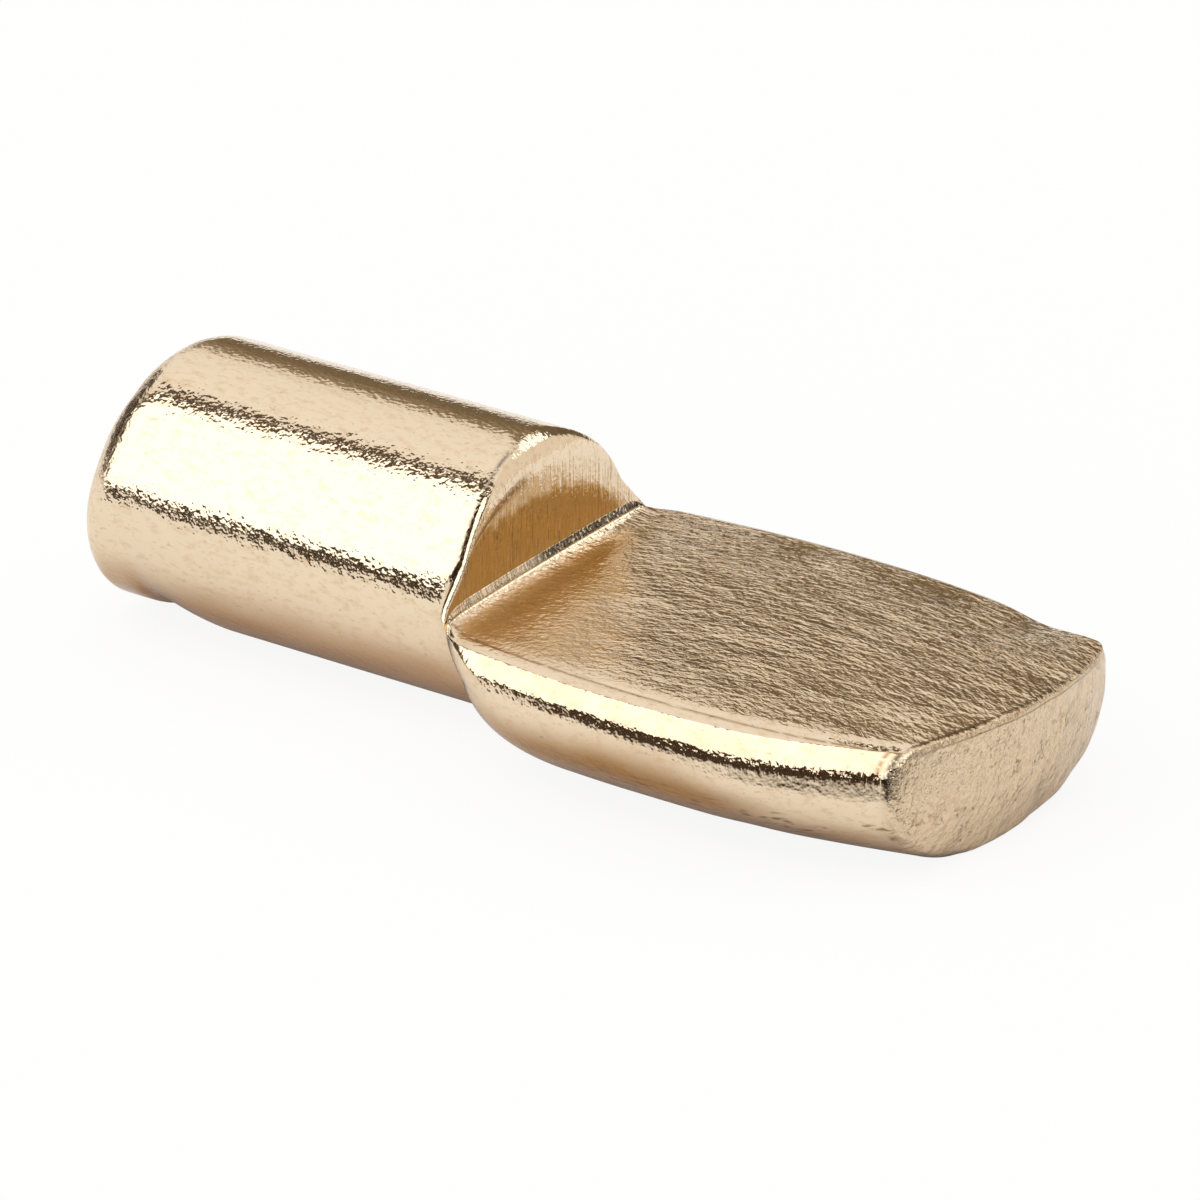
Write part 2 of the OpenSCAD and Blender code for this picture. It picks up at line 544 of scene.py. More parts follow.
    def sagged(self, points: Grid) -> Grid:
        """Let the far edge sag before the tip and its corner stand up, as two soft bells in height.

        Args:
            points: Points in mm.

        Returns:
            The moved points.
        """
        x, y, z = np.moveaxis(points, -1, 0)
        lift = sum(high * bell(x, *at_x) * bell(y, *at_y) for high, at_x, at_y in self.sags)
        return np.stack([x, y, z + lift * ramp(z, self.wide_z, self.sag_fade)], axis=-1)

    def parting(self, points: Grid) -> Grid:
        """Give the faint flat that the die's parting left along the sides.

        It is a cosine wave under a bell, tuned to take the bend out of the side where it lies.

        Args:
            points: Points in mm.

        Returns:
            Height in mm.
        """
        x, y, z = np.moveaxis(points, -1, 0)
        up = (z - self.wide_z) / self.side_drop - self.parting_at
        wave = np.cos(2 * math.pi * up / self.parting_wave) * bell(up, 0.0, self.parting_bell)
        return -self.parting_h * wave * ramp(x, *self.parting_x) * ramp(np.abs(y), *self.parting_y)

    def struck(self, z: Grid) -> Grid:
        """Strike the keel flat: heights below it come up to it, with a short soft bend."""
        return self.keel_z + self.keel_soft * np.logaddexp(0.0, (z - self.keel_z) / self.keel_soft)


@dataclass(frozen=True)
class StepProfile:
    """Step between the pin and the seat: rounded crest, face, hollow fillet and apron. Sizes are in mm."""

    fillet_r: float = 0.24
    # Short rise of the seat towards the fillet, which fades where the step has little height.
    apron_h: float = 0.1
    apron_len: float = 0.42
    apron_fade: float = 0.3
    # Rounding over the top, and the least one along the ridge, with its share of a low step.
    crest_r: float = 0.75
    ridge_r: float = 0.1
    crest_share: float = 0.45
    crest_least: float = 0.004
    # Flare of the face's outline at its feet, and the height below which the wall's columns bulge out.
    flare_h: float = 1.3
    flare_run: float = 0.35
    bulge_h: float = 0.2
    # Height below which the step's columns keep to the places of the seat's edge.
    edge_h: float = 0.04
    # Share of the fillet's turn that the face takes over where the face is low.
    early_turn: float = 0.4
    early_h: float = 0.6
    # Places of the seat's edge at the ends of the flare, ridge, face, fillet and toe.
    edge_ends: tuple[float, ...] = (0.1, 0.135, 0.165, 0.2, 1.3)
    # Turn of the crest's path from level, in degrees, at ways over the crest.
    ridge_ways: tuple[float, ...] = (0.0, 0.42, 0.56, 1.0)
    ridge_turns: tuple[float, ...] = (0.0, 24.0, 52.0, 90.0)
    path_steps: int = 401
    # Burr along the ridge: height, its bell past the ridge, and where it shows.
    burr_h: float = 0.042
    burr: Pair = (-0.02, 0.1)
    burr_y: Pair = (-0.3, -0.8)
    burr_z: Pair = (0.1, 0.3)
    burr_wall: Pair = (-0.14, 0.1)

    def apron(self, run: Grid) -> Grid:
        """Share of the apron's height at a run from the fillet: the square of the way still to go."""
        return np.clip(1.0 - run / self.apron_len, 0.0, 1.0) ** 2

    def crest_path(self, way: Grid) -> tuple[Grid, Grid]:
        """Shape the crest: it bends slowly, turns fast at the ridge, then leans over into the face.

        The path is the running sum of even steps whose turn from level follows the ridge's turns.

        Args:
            way: Way over the crest, one value per ring.

        Returns:
            Share of the crest's length and of its depth that lies behind.
        """
        fine = np.linspace(0.0, 1.0, self.path_steps)
        turn = np.radians(np.interp(fine, self.ridge_ways, self.ridge_turns))
        level, fall = np.cumsum(np.cos(turn)), np.cumsum(np.sin(turn))
        return np.interp(way, fine, level / level[-1]), np.interp(way, fine, fall / fall[-1])

    def crest(self, y: Grid, z: Grid, round_r: float) -> tuple[Grid, Grid]:
        """Size the crest's rounding for the columns over the top.

        The rounding belongs to an end of a larger, lower round, so it fades down the sides to the
        small radius of the ridge.

        Args:
            y: Y of each column at the wall.
            z: Z of each column at the wall.
            round_r: Radius of the pin.

        Returns:
            Length of the rounding along the wall, and its depth down the face.
        """
        low = 2.0 * round_r / 3.0
        inner = round_r + low - self.crest_r
        over = np.clip(np.hypot(y, z + low) - inner, 0.0, self.crest_r)
        long = self.crest_r - np.sqrt(self.crest_r**2 - over**2)
        deep = z - (np.sqrt(np.maximum(inner**2 - y**2, 0.0)) - low)
        deep = np.where(over > 0.0, np.maximum(deep, 0.0), 0.0)
        return np.hypot(long, self.ridge_r), np.hypot(deep, self.ridge_r)


@dataclass(frozen=True)
class ZoneSizes:
    """Where tools, plating and handling marked the skin, and where shade and reflection are painted on it.
    Sizes are in mm, and ways are shares of a run.

    Where no comment says otherwise, a pair is the start and the run of a smooth rise, which falls
    where the run is below 0, or the middle and the width of a bell.
    """

    # Torn part of the tip's rounding by its distance from the face, and of the crop's by its way.
    tip_torn: Pair = (-0.2, 0.2)
    crop_clean: Pair = (0.5, 0.5)
    # Seat: first and last X at which its edge is taken, where its ripples start inside the edges, and
    # the brown line along each edge.
    seat_x: Pair = (0.3, 12.0)
    near_fringe: Pair = (0.28, 0.4)
    far_fringe: Pair = (0.02, 0.1)
    near_line: Pair = (0.28, 0.028)
    far_line: Pair = (0.03, 0.02)
    # Ripples are weak where the seat mirrors the pin, along a slanting place of the pin's radius.
    mirror_slope: float = 1.47
    mirror_squeeze: float = 0.8
    mirror_r: float = 3.1
    mirror_rise: Pair = (0.85, 0.8)
    ripple_least: float = 0.24
    ripple_mean: float = 0.75
    ripple: Wave = Wave(0.45, 1.3, 37)
    # Ripple frame: X and Y of its centre off the near side, and the radius that turns angle to length.
    grain_at: Pair = (6.5, -9.0)
    grain_r: float = 10.0
    # Dull places of the seat: a patch, and a soft near part that ends on a slant.
    dull: float = 0.4
    patch_x: Pair = (7.35, 0.4)
    patch_y: Pair = (1.4, 1.0)
    soft_x: Pair = (7.5, -4.0)
    soft_y: Pair = (1.0, -1.6)
    soft_slant: float = 0.28
    # Step: draw marks, ribs of the fillet, and the painted dark reflection in it towards the far side.
    step_x: Pair = (-0.12, 0.1)
    rib_in: Pair = (0.0, 0.2)
    rib_out: Pair = (0.85, -0.2)
    fillet_shade_in: Pair = (0.0, 0.15)
    fillet_shade_out: Pair = (0.8, -0.15)
    fillet_shade_y: Pair = (-0.7, 0.9)
    # Near ridge: where it counts as near, the groove behind it, and the brown lip on it.
    near_y: Pair = (-0.2, -0.8)
    groove: Pair = (-0.15, 0.05)
    groove_dark: float = 0.75
    lip_in: Pair = (0.78, 0.1)
    lip_out: Pair = (1.05, -0.1)
    # Painted gold shade and reflection where the step's face and the seat mirror each other: an arch on the
    # face with its ragged border, and its glow on the seat.
    arch_h: float = 1.8
    arch_half: float = 2.9
    arch_edge: float = 0.3
    ragged: tuple[Wave, ...] = (Wave(0.12, 0.22, 41), Wave(0.12, 0.09, 43))
    glow: float = 0.4
    glow_squeeze: float = 1.6
    glow_fade: Pair = (0.6, 1.8)
    glow_x: Pair = (0.5, 0.3)
    # Sides: painted gold shade in the crease where the shoulder leaves the pin, and painted dark reflection
    # past it, high on the near side.
    crease: Pair = (-0.08, 0.22)
    shoulder_shade: Pair = (0.4, 0.18)
    shoulder_shade_share: Pair = (0.25, 0.35)
    # Faint gold of the bevel under the edge.
    bevel_x: Pair = (0.8, 0.8)
    bevel_z: Pair = (-0.55, 0.2)
    bevel_mean: float = 0.2
    bevel: Wave = Wave(0.12, 0.5, 53)
    # Near corner of the tip: torn edge and a crack before it, by the distance from the tip's face.
    corner_y: Pair = (-2.4, -0.5)
    corner_z: Pair = (-1.05, 0.25)
    torn_edge: Pair = (-0.12, 0.065)
    crack: Pair = (-0.33, 0.035)
    crack_z: Pair = (-0.75, 0.2)
    # Hair marks of the near side, and folds of the belly.
    hair_x: Pair = (6.5, 3.0)
    hair_z: Pair = (-0.5, 0.2)
    belly_x: Pair = (1.5, 5.0)
    belly_z: Pair = (-1.25, -0.6)
    # Painted shade underneath, darker gold where the lower sides mirror the shaded floor: its start, which
    # sinks towards the tip, its cloudy border, and the depths over which it comes in along the pin and along
    # the blade.
    low_z: float = -0.58
    low_sink: float = 0.95
    low_sink_x: Pair = (5.8, 4.0)
    low_cloud: Wave = Wave(0.22, 0.7, 47, squeeze=(0.6, 1.0, 1.0))
    low_deep: Pair = (1.7, 1.15)
    low_deep_x: Pair = (-0.5, 2.0)


@dataclass(frozen=True)
class Skin:
    """Points of the smooth skin in mm, as rings by ring points by three, with the runs they lie on."""

    points: Grid
    top_points: int

    def axes(self) -> tuple[Grid, Grid, Grid]:
        """Give X, Y and Z of the points."""
        return self.points[..., 0], self.points[..., 1], self.points[..., 2]

    def top(self) -> Grid:
        """Give 1 for the ring points over the top and 0 for those below the edge."""
        return np.where(np.arange(self.points.shape[1]) < self.top_points, 1.0, 0.0)

    def way(self) -> Grid:
        """Give each ring's way through its run, as a column."""
        return np.concatenate([s.way() for s in Span])[:, None]

    def on(self, *spans: Span) -> Grid:
        """Give 1 for the rings of some runs and 0 for the others, as a column."""
        return np.concatenate([np.full(s.rings, float(s in spans)) for s in Span])[:, None]


@dataclass
class SupportPin:
    """The whole forged pin as one closed skin of rings, from the cropped end to the tip."""

    layout: RingLayout = field(default_factory=RingLayout)
    pin: PinWire = field(default_factory=PinWire)
    blade: ForgedBlade = field(default_factory=ForgedBlade)
    step: StepProfile = field(default_factory=StepProfile)
    zones: ZoneSizes = field(default_factory=ZoneSizes)
    # Slow waves of the forging, of the belly and the seat, then torn grain of the tip and the crop.
    waves: tuple[Wave, ...] = (
        Wave(0.006, 0.9, 11, squeeze=(0.5, 1.0, 1.0)),
        Wave(0.014, 1.1, 11, Zone.BELLY),
        Wave(0.006, 1.7, 11, Zone.SEAT),
        Wave(0.03, 0.62, 23, Zone.TIP, (1.0, 1.0, 0.55)),
        Wave(0.014, 0.27, 23, Zone.TIP, (1.0, 1.0, 0.55)),
        Wave(0.02, 0.5, 23, Zone.CROP, (1.0, 1.0, 0.4)),
    )
    name: str = "support_pin_plated"

    def edge_places(self) -> Grid:
        """Give the seat edge's place along X for each ring from the neck to the end of the blade.

        Each run goes evenly from one end to the next, or crowds at its start by the square of the way.

        Returns:
            Places in mm.
        """
        stops = [self.pin.neck_at, -self.blade.shoulder_lead, *self.step.edge_ends, self.blade.last_x]
        runs = [
            blend(start, end, span.way() ** (2 if span in CROWDED_SPANS else 1))
            for span, start, end in zip(EDGE_SPANS, stops, stops[1:])
        ]
        return np.concatenate(runs)

    def top_turn(self) -> Grid:
        """Give the angle from the top of the pin for each point over the top."""
        edge_z = self.blade.wide_z + self.blade.side_drop * self.layout.edge_rise
        return self.layout.across() * math.acos(edge_z / self.pin.radius)

    def over_top(self, edge: Grid) -> Grid:
        """Build the points over the top from the neck to the end of the blade.

        Each column runs along the wall, over the crest, straight down the step's face, round the
        fillet's arc to the apron's lean, down the apron and out along the seat. The face's outline is
        the pin's round, which flares out to the shoulder at its feet: hollow by the square of the way,
        and bulging as the shoulder does at the very foot. Along the toe the columns spread from their
        places on the outline to even shares of the seat's width. Where the step has no height, a
        column keeps to the places of the seat's edge.

        Args:
            edge: Place of the seat's edge along X for each ring.

        Returns:
            Points as rings by ring points by three.
        """
        pin, blade, step = self.pin, self.blade, self.step
        turn = self.top_turn()
        y_wall, z_wall = pin.radius * np.sin(turn), pin.radius * np.cos(turn)
        round_y = y_wall[0]
        counts = np.cumsum([s.rings for s in EDGE_SPANS])
        ridge, face, hollow, toe = (slice(a, b) for a, b in zip(counts[1:5], counts[2:6]))
        wall, drop = slice(0, ridge.start), slice(ridge.start, toe.start)
        toe_ring = toe.start - 1
        toe_start, toe_end = step.edge_ends[3:]

        # Seat, with its columns spread from the outline of the step.
        half = blade.edge_y(edge[:, None], round_y, self.layout.edge_rise, turn)
        foot_y = half[ridge.start - 1, 0]
        local = 1.0 - ramp(z_wall, z_wall[0], step.flare_h)
        outline = y_wall + np.sign(turn) * (foot_y - round_y) * local
        spread = ramp(edge, toe_start, toe_end - toe_start)
        share = blend(outline / foot_y, np.sin(turn) / math.sin(turn[0]), spread[:, None])
        x = np.repeat(edge[:, None], turn.size, axis=1)
        y = half * share
        z = blade.seat_z(y, half)

        # Height of the step in each column, and what its roundings take of it.
        rise = step.apron_h * ramp(z_wall, blade.seat_h, step.apron_fade)
        lean = np.arctan(2.0 * rise / step.apron_len)
        z_toe = z[toe_ring] + rise - step.fillet_r * (1.0 - np.cos(lean))
        high = np.maximum(z_wall - z_toe, 0.0)
        long, deep = step.crest(y_wall, z_wall, pin.radius)
        long = np.minimum(long, step.crest_share * high + step.crest_least)
        deep = np.minimum(deep, step.crest_share * high)
        rest = high - deep
        arc = np.arccos(np.clip(1.0 - rest / step.fillet_r, 0.0, 1.0))
        x_ridge = step.fillet_r * (1.0 - np.sin(arc))
        at_edge = bell(high, 0.0, step.edge_h)

        # Wall up to the crest.
        along = (edge[wall] - pin.neck_at) / (step.edge_ends[0] - pin.neck_at)
        x[wall] = blend(pin.neck_at, x_ridge - long, along[:, None])
        x[wall] = blend(x[wall], edge[wall][:, None], at_edge)
        grown = blade.edge_y(x[wall], round_y, self.layout.edge_rise, turn) - round_y
        bulging = grown / np.maximum(grown[-1], LEAST_GROWTH)
        flaring = np.clip(1.0 + (x[wall] - x[wall][-1]) / step.flare_run, 0.0, 1.0) ** 2
        y[wall] = blend(y_wall, outline, blend(flaring, bulging, bell(high, 0.0, step.bulge_h)))
        z[wall] = z_wall

        # Crest, then face and fillet, then apron.
        level, fall = (part[:, None] for part in step.crest_path(Span.RIDGE.way()))
        x[ridge] = x_ridge - long * (1.0 - level)
        z[ridge] = z_toe + rest + deep * (1.0 - fall)

        early = step.early_turn * (1.0 - ramp(rest, 0.0, step.early_h))
        face_turn = arc * (1.0 - early * Span.FACE.way()[:, None])
        left = arc * (1.0 - early)
        hollow_turn = blend(left, np.minimum(lean, left), Span.FILLET.way()[:, None])
        for rings, turned in ((face, face_turn), (hollow, hollow_turn)):
            x[rings] = step.fillet_r * (1.0 - np.sin(turned))
            z[rings] = z_toe + step.fillet_r * (1.0 - np.cos(turned))
        z[face] += np.maximum(rest - step.fillet_r, 0.0) * (1.0 - Span.FACE.way()[:, None])
        x[drop] = blend(x[drop], edge[drop][:, None], at_edge)

        way = (edge[toe] - toe_start) / (toe_end - toe_start)
        x[toe] = blend(x[toe_ring], toe_end, way[:, None])
        z[toe] += rise * step.apron(x[toe] - x[toe_ring])
        return np.stack([x, y, z], axis=-1)

    def under_edge(self, edge: Grid) -> Grid:
        """Build the points below the seat's edge from the neck to the end of the blade.

        Each column runs straight to the place where the shoulder leaves the pin there, then keeps
        the edge's share of the way to the end of the blade.

        Args:
            edge: Place of the seat's edge along X for each ring.

        Returns:
            Points as rings by ring points by three.
        """
        start, lead, last = self.pin.neck_at, -self.blade.shoulder_lead, self.blade.last_x
        leave = self.blade.shoulder_at(self.layout.both(self.layout.half()[2]))
        to_leave = np.clip((edge - start) / (lead - start), 0.0, 1.0)
        onward = np.clip((edge - lead) / (last - lead), 0.0, 1.0)
        before = blend(start, leave, to_leave[:, None])
        x = np.where(edge[:, None] <= lead, before, blend(leave, last, onward[:, None]))
        y, z = self.blade.under(x, self.layout, self.pin.radius)
        return np.stack([x, y, z], axis=-1)

    def tip_rings(self, last: Grid) -> Grid:
        """Build the rounding of the tip's edge and the tip's face from the last ring of the blade.

        The rounding is a quarter circle that draws the sides and belly in, with a smaller one at
        the top edge. The face's rings shrink evenly towards one point.

        Args:
            last: Last ring of the blade, before the tip is bowed.

        Returns:
            Rings of the rounding, then of the face.
        """
        blade = self.blade
        turn = Span.TIP_ROUND.way()[:, None] * QUARTER_TURN
        inset = blade.tip_edge_r * (1.0 - np.cos(turn))
        x = last[:, 0] + blade.tip_edge_r * np.sin(turn)
        y = last[:, 1] * (1.0 - inset / (blade.width / 2))
        below = last[:, 2] - blade.wide_z
        drawn = blade.wide_z + below * (1.0 - inset / (blade.wide_z - blade.belly_z))
        bent = np.clip((x - blade.length + blade.tip_top_r) / blade.tip_top_r, 0.0, 1.0)
        top_drop = blade.tip_top_r * (1.0 - np.sqrt(np.maximum(0.0, 1.0 - bent**2)))
        z = np.where(below < 0.0, drawn, last[:, 2]) - top_drop * ramp(below, *blade.tip_top_rise)
        rounded = np.stack([x, y, z], axis=-1)
        way = np.arange(1, Span.TIP_FACE.rings + 1) / (Span.TIP_FACE.rings + 1)
        middle = np.array([blade.length, 0.0, blade.tip_middle_z])
        face = blend(rounded[-1], middle, way[:, None, None])
        return np.concatenate([rounded, face])

    def rings(self) -> Grid:
        """Build all rings of the skin, before its relief.

        Returns:
            Points as rings by ring points by three, in mm.
        """
        turn = self.top_turn()
        low = self.under_edge(np.array([self.pin.neck_at]))[0] / self.pin.radius
        unit_y = np.concatenate([np.sin(turn), low[:, 1]])
        unit_z = np.concatenate([np.cos(turn), low[:, 2]])
        edge = self.edge_places()
        body = np.concatenate([self.over_top(edge), self.under_edge(edge)], axis=1)
        points = np.concatenate([self.pin.shell(unit_y, unit_z), body, self.tip_rings(body[-1])])
        points[..., 2] = self.blade.struck(points[..., 2])
        return self.blade.sagged(self.blade.bowed(points))

    def past_ridge(self, points: Grid) -> Grid:
        """Measure how far points over the top lie past the turn of the ridge, along X.

        Args:
            points: Points of the skin in mm.

        Returns:
            Distances in mm, without end below the edge.
        """
        turn, radius = self.top_turn(), self.pin.radius
        long, _ = self.step.crest(radius * np.sin(turn), radius * np.cos(turn), radius)
        level, _ = self.step.crest_path(np.array(self.step.ridge_ways[1]))
        past = np.full(points.shape[:2], np.inf)
        past[:, : turn.size] = points[:, : turn.size, 0] + long * (1.0 - level)
        return past

    def tip_lead(self, points: Grid) -> Grid:
        """Measure how far points lie past the tip's bowed face, along X.

        Args:
            points: Points of the skin in mm.

        Returns:
            Distances in mm, below 0 before the face.
        """
        at_tip = points.copy()
        at_tip[..., 0] = self.blade.length
        return points[..., 0] - self.blade.bowed(at_tip)[..., 0]

    def masks(self, points: Grid) -> dict[Zone, Grid]:
        """Say how far each point belongs to each zone.

        Args:
            points: Points of the skin in mm.

        Returns:
            A mask for each zone, from 0 to about 1.
        """
        zones, skin = self.zones, Skin(points, self.layout.top_points)
        torn = ramp(self.tip_lead(points), *zones.tip_torn)
        clean = ramp(skin.way(), *zones.crop_clean)
        tip = skin.on(Span.TIP_FACE) + skin.on(Span.TIP_ROUND) * torn
        ends = {
            Zone.TIP: tip,
            Zone.CROP: skin.on(Span.CROP_FACE) + skin.on(Span.CROP_ROUND) * (1.0 - clean),
        }
        total = {zone: np.zeros(points.shape[:2]) for zone in Zone}
        for found in (ends, self.seat_masks(skin), self.step_masks(skin), self.side_masks(skin, 1.0 - tip)):
            for zone, mask in found.items():
                total[zone] += mask
        return total

    def seat_masks(self, skin: Skin) -> dict[Zone, Grid]:
        """Mark the seat: ripples inside its edges, brown lines along them, dull places, and the painted gold
        glow near the step.

        Args:
            skin: Points of the skin.

        Returns:
            What the seat adds to the masks of its zones.
        """
        zones, on_seat = self.zones, skin.on(*SEAT_SPANS) * skin.top()
        x, y, z = skin.axes()
        half = self.blade.edge_y(np.clip(x, *zones.seat_x), self.pin.radius, self.layout.edge_rise, y)
        inward = half - np.abs(y)
        fringe = np.where(y < 0.0, ramp(inward, *zones.near_fringe), ramp(inward, *zones.far_fringe))
        line = np.where(y < 0.0, bell(inward, *zones.near_line), bell(inward, *zones.far_line))
        mirrored = np.hypot(y + zones.mirror_slope * x, zones.mirror_squeeze * x) / zones.mirror_r
        ripple = blend(zones.ripple_least, 1.0, ramp(mirrored, *zones.mirror_rise))
        ripple *= zones.ripple_mean + zones.ripple.at(skin.points)
        patch = bell(x, *zones.patch_x) * bell(y, *zones.patch_y)
        soft = ramp(x, *zones.soft_x) * ramp(y + zones.soft_slant * x, *zones.soft_y)
        off_foot = np.hypot(np.maximum(x, 0.0) * zones.glow_squeeze, np.maximum(z - self.blade.seat_h, 0.0))
        glow = zones.glow * (1.0 - ramp(off_foot, *zones.glow_fade)) * ramp(x, *zones.glow_x)
        return {
            Zone.SEAT: on_seat * fringe * ripple,
            Zone.RIM: on_seat * line,
            Zone.HAZE: on_seat * zones.dull * (patch + soft),
            # Painted gold glow of the seat by the step's foot.
            Zone.NOOK: on_seat * glow,
        }

    def step_masks(self, skin: Skin) -> dict[Zone, Grid]:
        """Mark the step: draw marks, the fillet's ribs and painted dark reflection, the near ridge, and the
        painted gold arch.

        Args:
            skin: Points of the skin.

        Returns:
            What the step adds to the masks of its zones.
        """
        zones, top, way = self.zones, skin.top(), skin.way()
        x, y, z = skin.axes()
        near = ramp(y, *zones.near_y) * top
        groove = zones.groove_dark * bell(self.past_ridge(skin.points), *zones.groove) * near
        lip = skin.on(Span.RIDGE) * ramp(way, *zones.lip_in) * ramp(way, *zones.lip_out)
        in_fillet = skin.on(Span.FILLET) * top
        ribs = ramp(way, *zones.rib_in) * ramp(way, *zones.rib_out)
        # Painted dark reflection in the fillet, stronger towards the far side.
        soot = ramp(way, *zones.fillet_shade_in) * ramp(way, *zones.fillet_shade_out) * ramp(y, *zones.fillet_shade_y)
        bow = np.sqrt(np.clip(1.0 - (np.maximum(y, 0.0) / zones.arch_half) ** 2, 0.0, 1.0))
        under_arch = zones.arch_h * bow - z + self.blade.seat_h
        under_arch += sum(wave.at(skin.points) for wave in zones.ragged)
        return {
            Zone.STEP: skin.on(Span.RIDGE, Span.FACE) * top * ramp(x, *zones.step_x),
            Zone.FILLET: in_fillet * ribs,
            # Dark line behind the near ridge, and painted dark reflection in the fillet.
            Zone.SOOT: groove + in_fillet * soot,
            Zone.RIM: lip * near,
            # Painted gold shade and reflection on the step's face, under the ragged arch.
            Zone.NOOK: skin.on(Span.FACE) * top * ramp(under_arch, 0.0, zones.arch_edge),
        }

    def side_masks(self, skin: Skin, whole: Grid) -> dict[Zone, Grid]:
        """Mark what lies below the edge: painted shade of the crease and painted dark reflection past it,
        bevel, torn corner, hair marks and painted shade underneath.

        Args:
            skin: Points of the skin.
            whole: 0 on the tip's torn face and 1 elsewhere.

        Returns:
            What the sides and the belly add to the masks of their zones.
        """
        zones, under = self.zones, 1.0 - skin.top()
        x, y, z = skin.axes()
        share = np.concatenate([np.zeros(skin.top_points), self.layout.both(self.layout.half()[2])])
        leave = x - self.blade.shoulder_at(share)
        upper = 1.0 - ramp(share, *zones.shoulder_shade_share)
        shoulder_shade = upper * bell(leave, *zones.shoulder_shade) * (y < 0.0)
        lead = self.tip_lead(skin.points)
        corner = under * ramp(y, *zones.corner_y) * ramp(z, *zones.corner_z)
        bevel = ramp(z, *zones.bevel_z) * ramp(x, *zones.bevel_x)
        bevel *= zones.bevel_mean + zones.bevel.at(skin.points)
        sunk = zones.low_cloud.at(skin.points) + zones.low_z - zones.low_sink * ramp(x, *zones.low_sink_x)
        deep = blend(*zones.low_deep, ramp(x, *zones.low_deep_x))
        return {
            # Painted shade in the crease where the shoulder leaves the pin.
            Zone.CREASE: under * bell(leave, *zones.crease),
            # Painted dark reflection past the shoulder's crease, and a dark torn edge at the tip's near
            # corner.
            Zone.SOOT: under * shoulder_shade + corner * bell(lead, *zones.torn_edge),
            Zone.RIM: corner * bell(lead, *zones.crack) * ramp(z, *zones.crack_z),
            Zone.NOOK: under * whole * bevel,
            Zone.HAIR: under * whole * (y < 0.0) * ramp(x, *zones.hair_x) * bell(z, *zones.hair_z),
            Zone.BELLY: under * whole * ramp(x, *zones.belly_x) * ramp(z, *zones.belly_z),
            # Painted shade underneath, in darker gold, below a cloudy line that sinks towards the tip.
            Zone.LOW: under * whole * ramp(sunk - z, 0.0, deep),
        }

    @staticmethod
    def normals(points: Grid) -> Grid:
        """Give outward normals: the turn round the ring crossed with the step along the rings.

        Args:
            points: Points as rings by ring points by three.

        Returns:
            Normals of length 1.
        """
        around = np.roll(points, -1, axis=1) - np.roll(points, 1, axis=1)
        along = np.gradient(points, axis=0)
        normal = np.cross(around, along)
        size = np.linalg.norm(normal, axis=-1, keepdims=True)
        return normal / np.maximum(size, LEAST_LENGTH)

    def relief(self, points: Grid, masks: dict[Zone, Grid]) -> Grid:
        """Work out the forms that stand off the smooth skin.

        They are the waves of the forging and the tearing, each within its zone or all over but the
        step, the pinch under the crop, the flat of the die's parting, and the burr along the ridge.

        Args:
            points: Points of the skin in mm.
            masks: Mask of each zone.

        Returns:
            Height of each point along its normal, in mm.
        """
        off_step = 1.0 - masks[Zone.FILLET] - masks[Zone.STEP]
        height = self.pin.dent(points) + self.burr(points)
        height += self.blade.parting(points) * (1.0 - masks[Zone.TIP])
        for wave in self.waves:
            height += wave.at(points) * (off_step if wave.zone is None else masks[wave.zone])
        return height

    def burr(self, points: Grid) -> Grid:
        """Give the thin lip that the strike left along the near ridge: a bell across it, near the wall.

        Args:
            points: Points of the skin in mm.

        Returns:
            Height in mm.
        """
        step, (_, y, z) = self.step, np.moveaxis(points, -1, 0)
        side = ramp(y, *step.burr_y) * ramp(z, *step.burr_z)
        wall = ramp(np.hypot(y, z) - self.pin.radius, *step.burr_wall)
        return step.burr_h * bell(self.past_ridge(points), *step.burr) * side * wall

    def grain(self, points: Grid) -> Grid:
        """Give the seat's ripple frame: along and across arcs about a point off the near side.

        Args:
            points: Points of the skin in mm.

        Returns:
            Length along the arcs, radius across them, and height, in mm.
        """
        x, y = points[..., 0] - self.zones.grain_at[0], points[..., 1] - self.zones.grain_at[1]
        return np.stack([np.arctan2(x, y) * self.zones.grain_r, np.hypot(x, y), points[..., 2]], axis=-1)

    def build(self) -> bpy.types.Object:
        """Make the closed mesh: quads between rings and a fan at each end.

        Returns:
            The new object, at the origin.
        """
        points = self.rings()
        masks = self.masks(points)
        points = points + self.normals(points) * self.relief(points, masks)[..., None]
        points[..., 2] = np.maximum(points[..., 2], self.blade.keel_z)
        count, size = points.shape[:2]
        ends = np.stack([points[0].mean(axis=0), points[-1].mean(axis=0)])
        vertices = np.concatenate([points.reshape(-1, 3), ends]) * MM
        ring = np.arange(size)
        after = (ring + 1) % size
        base = np.arange(count - 1)[:, None] * size
        quads = np.stack([base + ring, base + size + ring, base + size + after, base + after], axis=-1)
        last = (count - 1) * size
        first_fan = np.stack([np.full(size, count * size), ring, after], axis=-1)
        last_fan = np.stack([np.full(size, count * size + 1), last + after, last + ring], axis=-1)
        mesh = self.fill(vertices, quads.reshape(-1, 4), np.concatenate([first_fan, last_fan]))
        self.store(mesh, masks, points)
        piece = bpy.data.objects.new(self.name, mesh)
        bpy.context.scene.collection.objects.link(piece)
        return piece

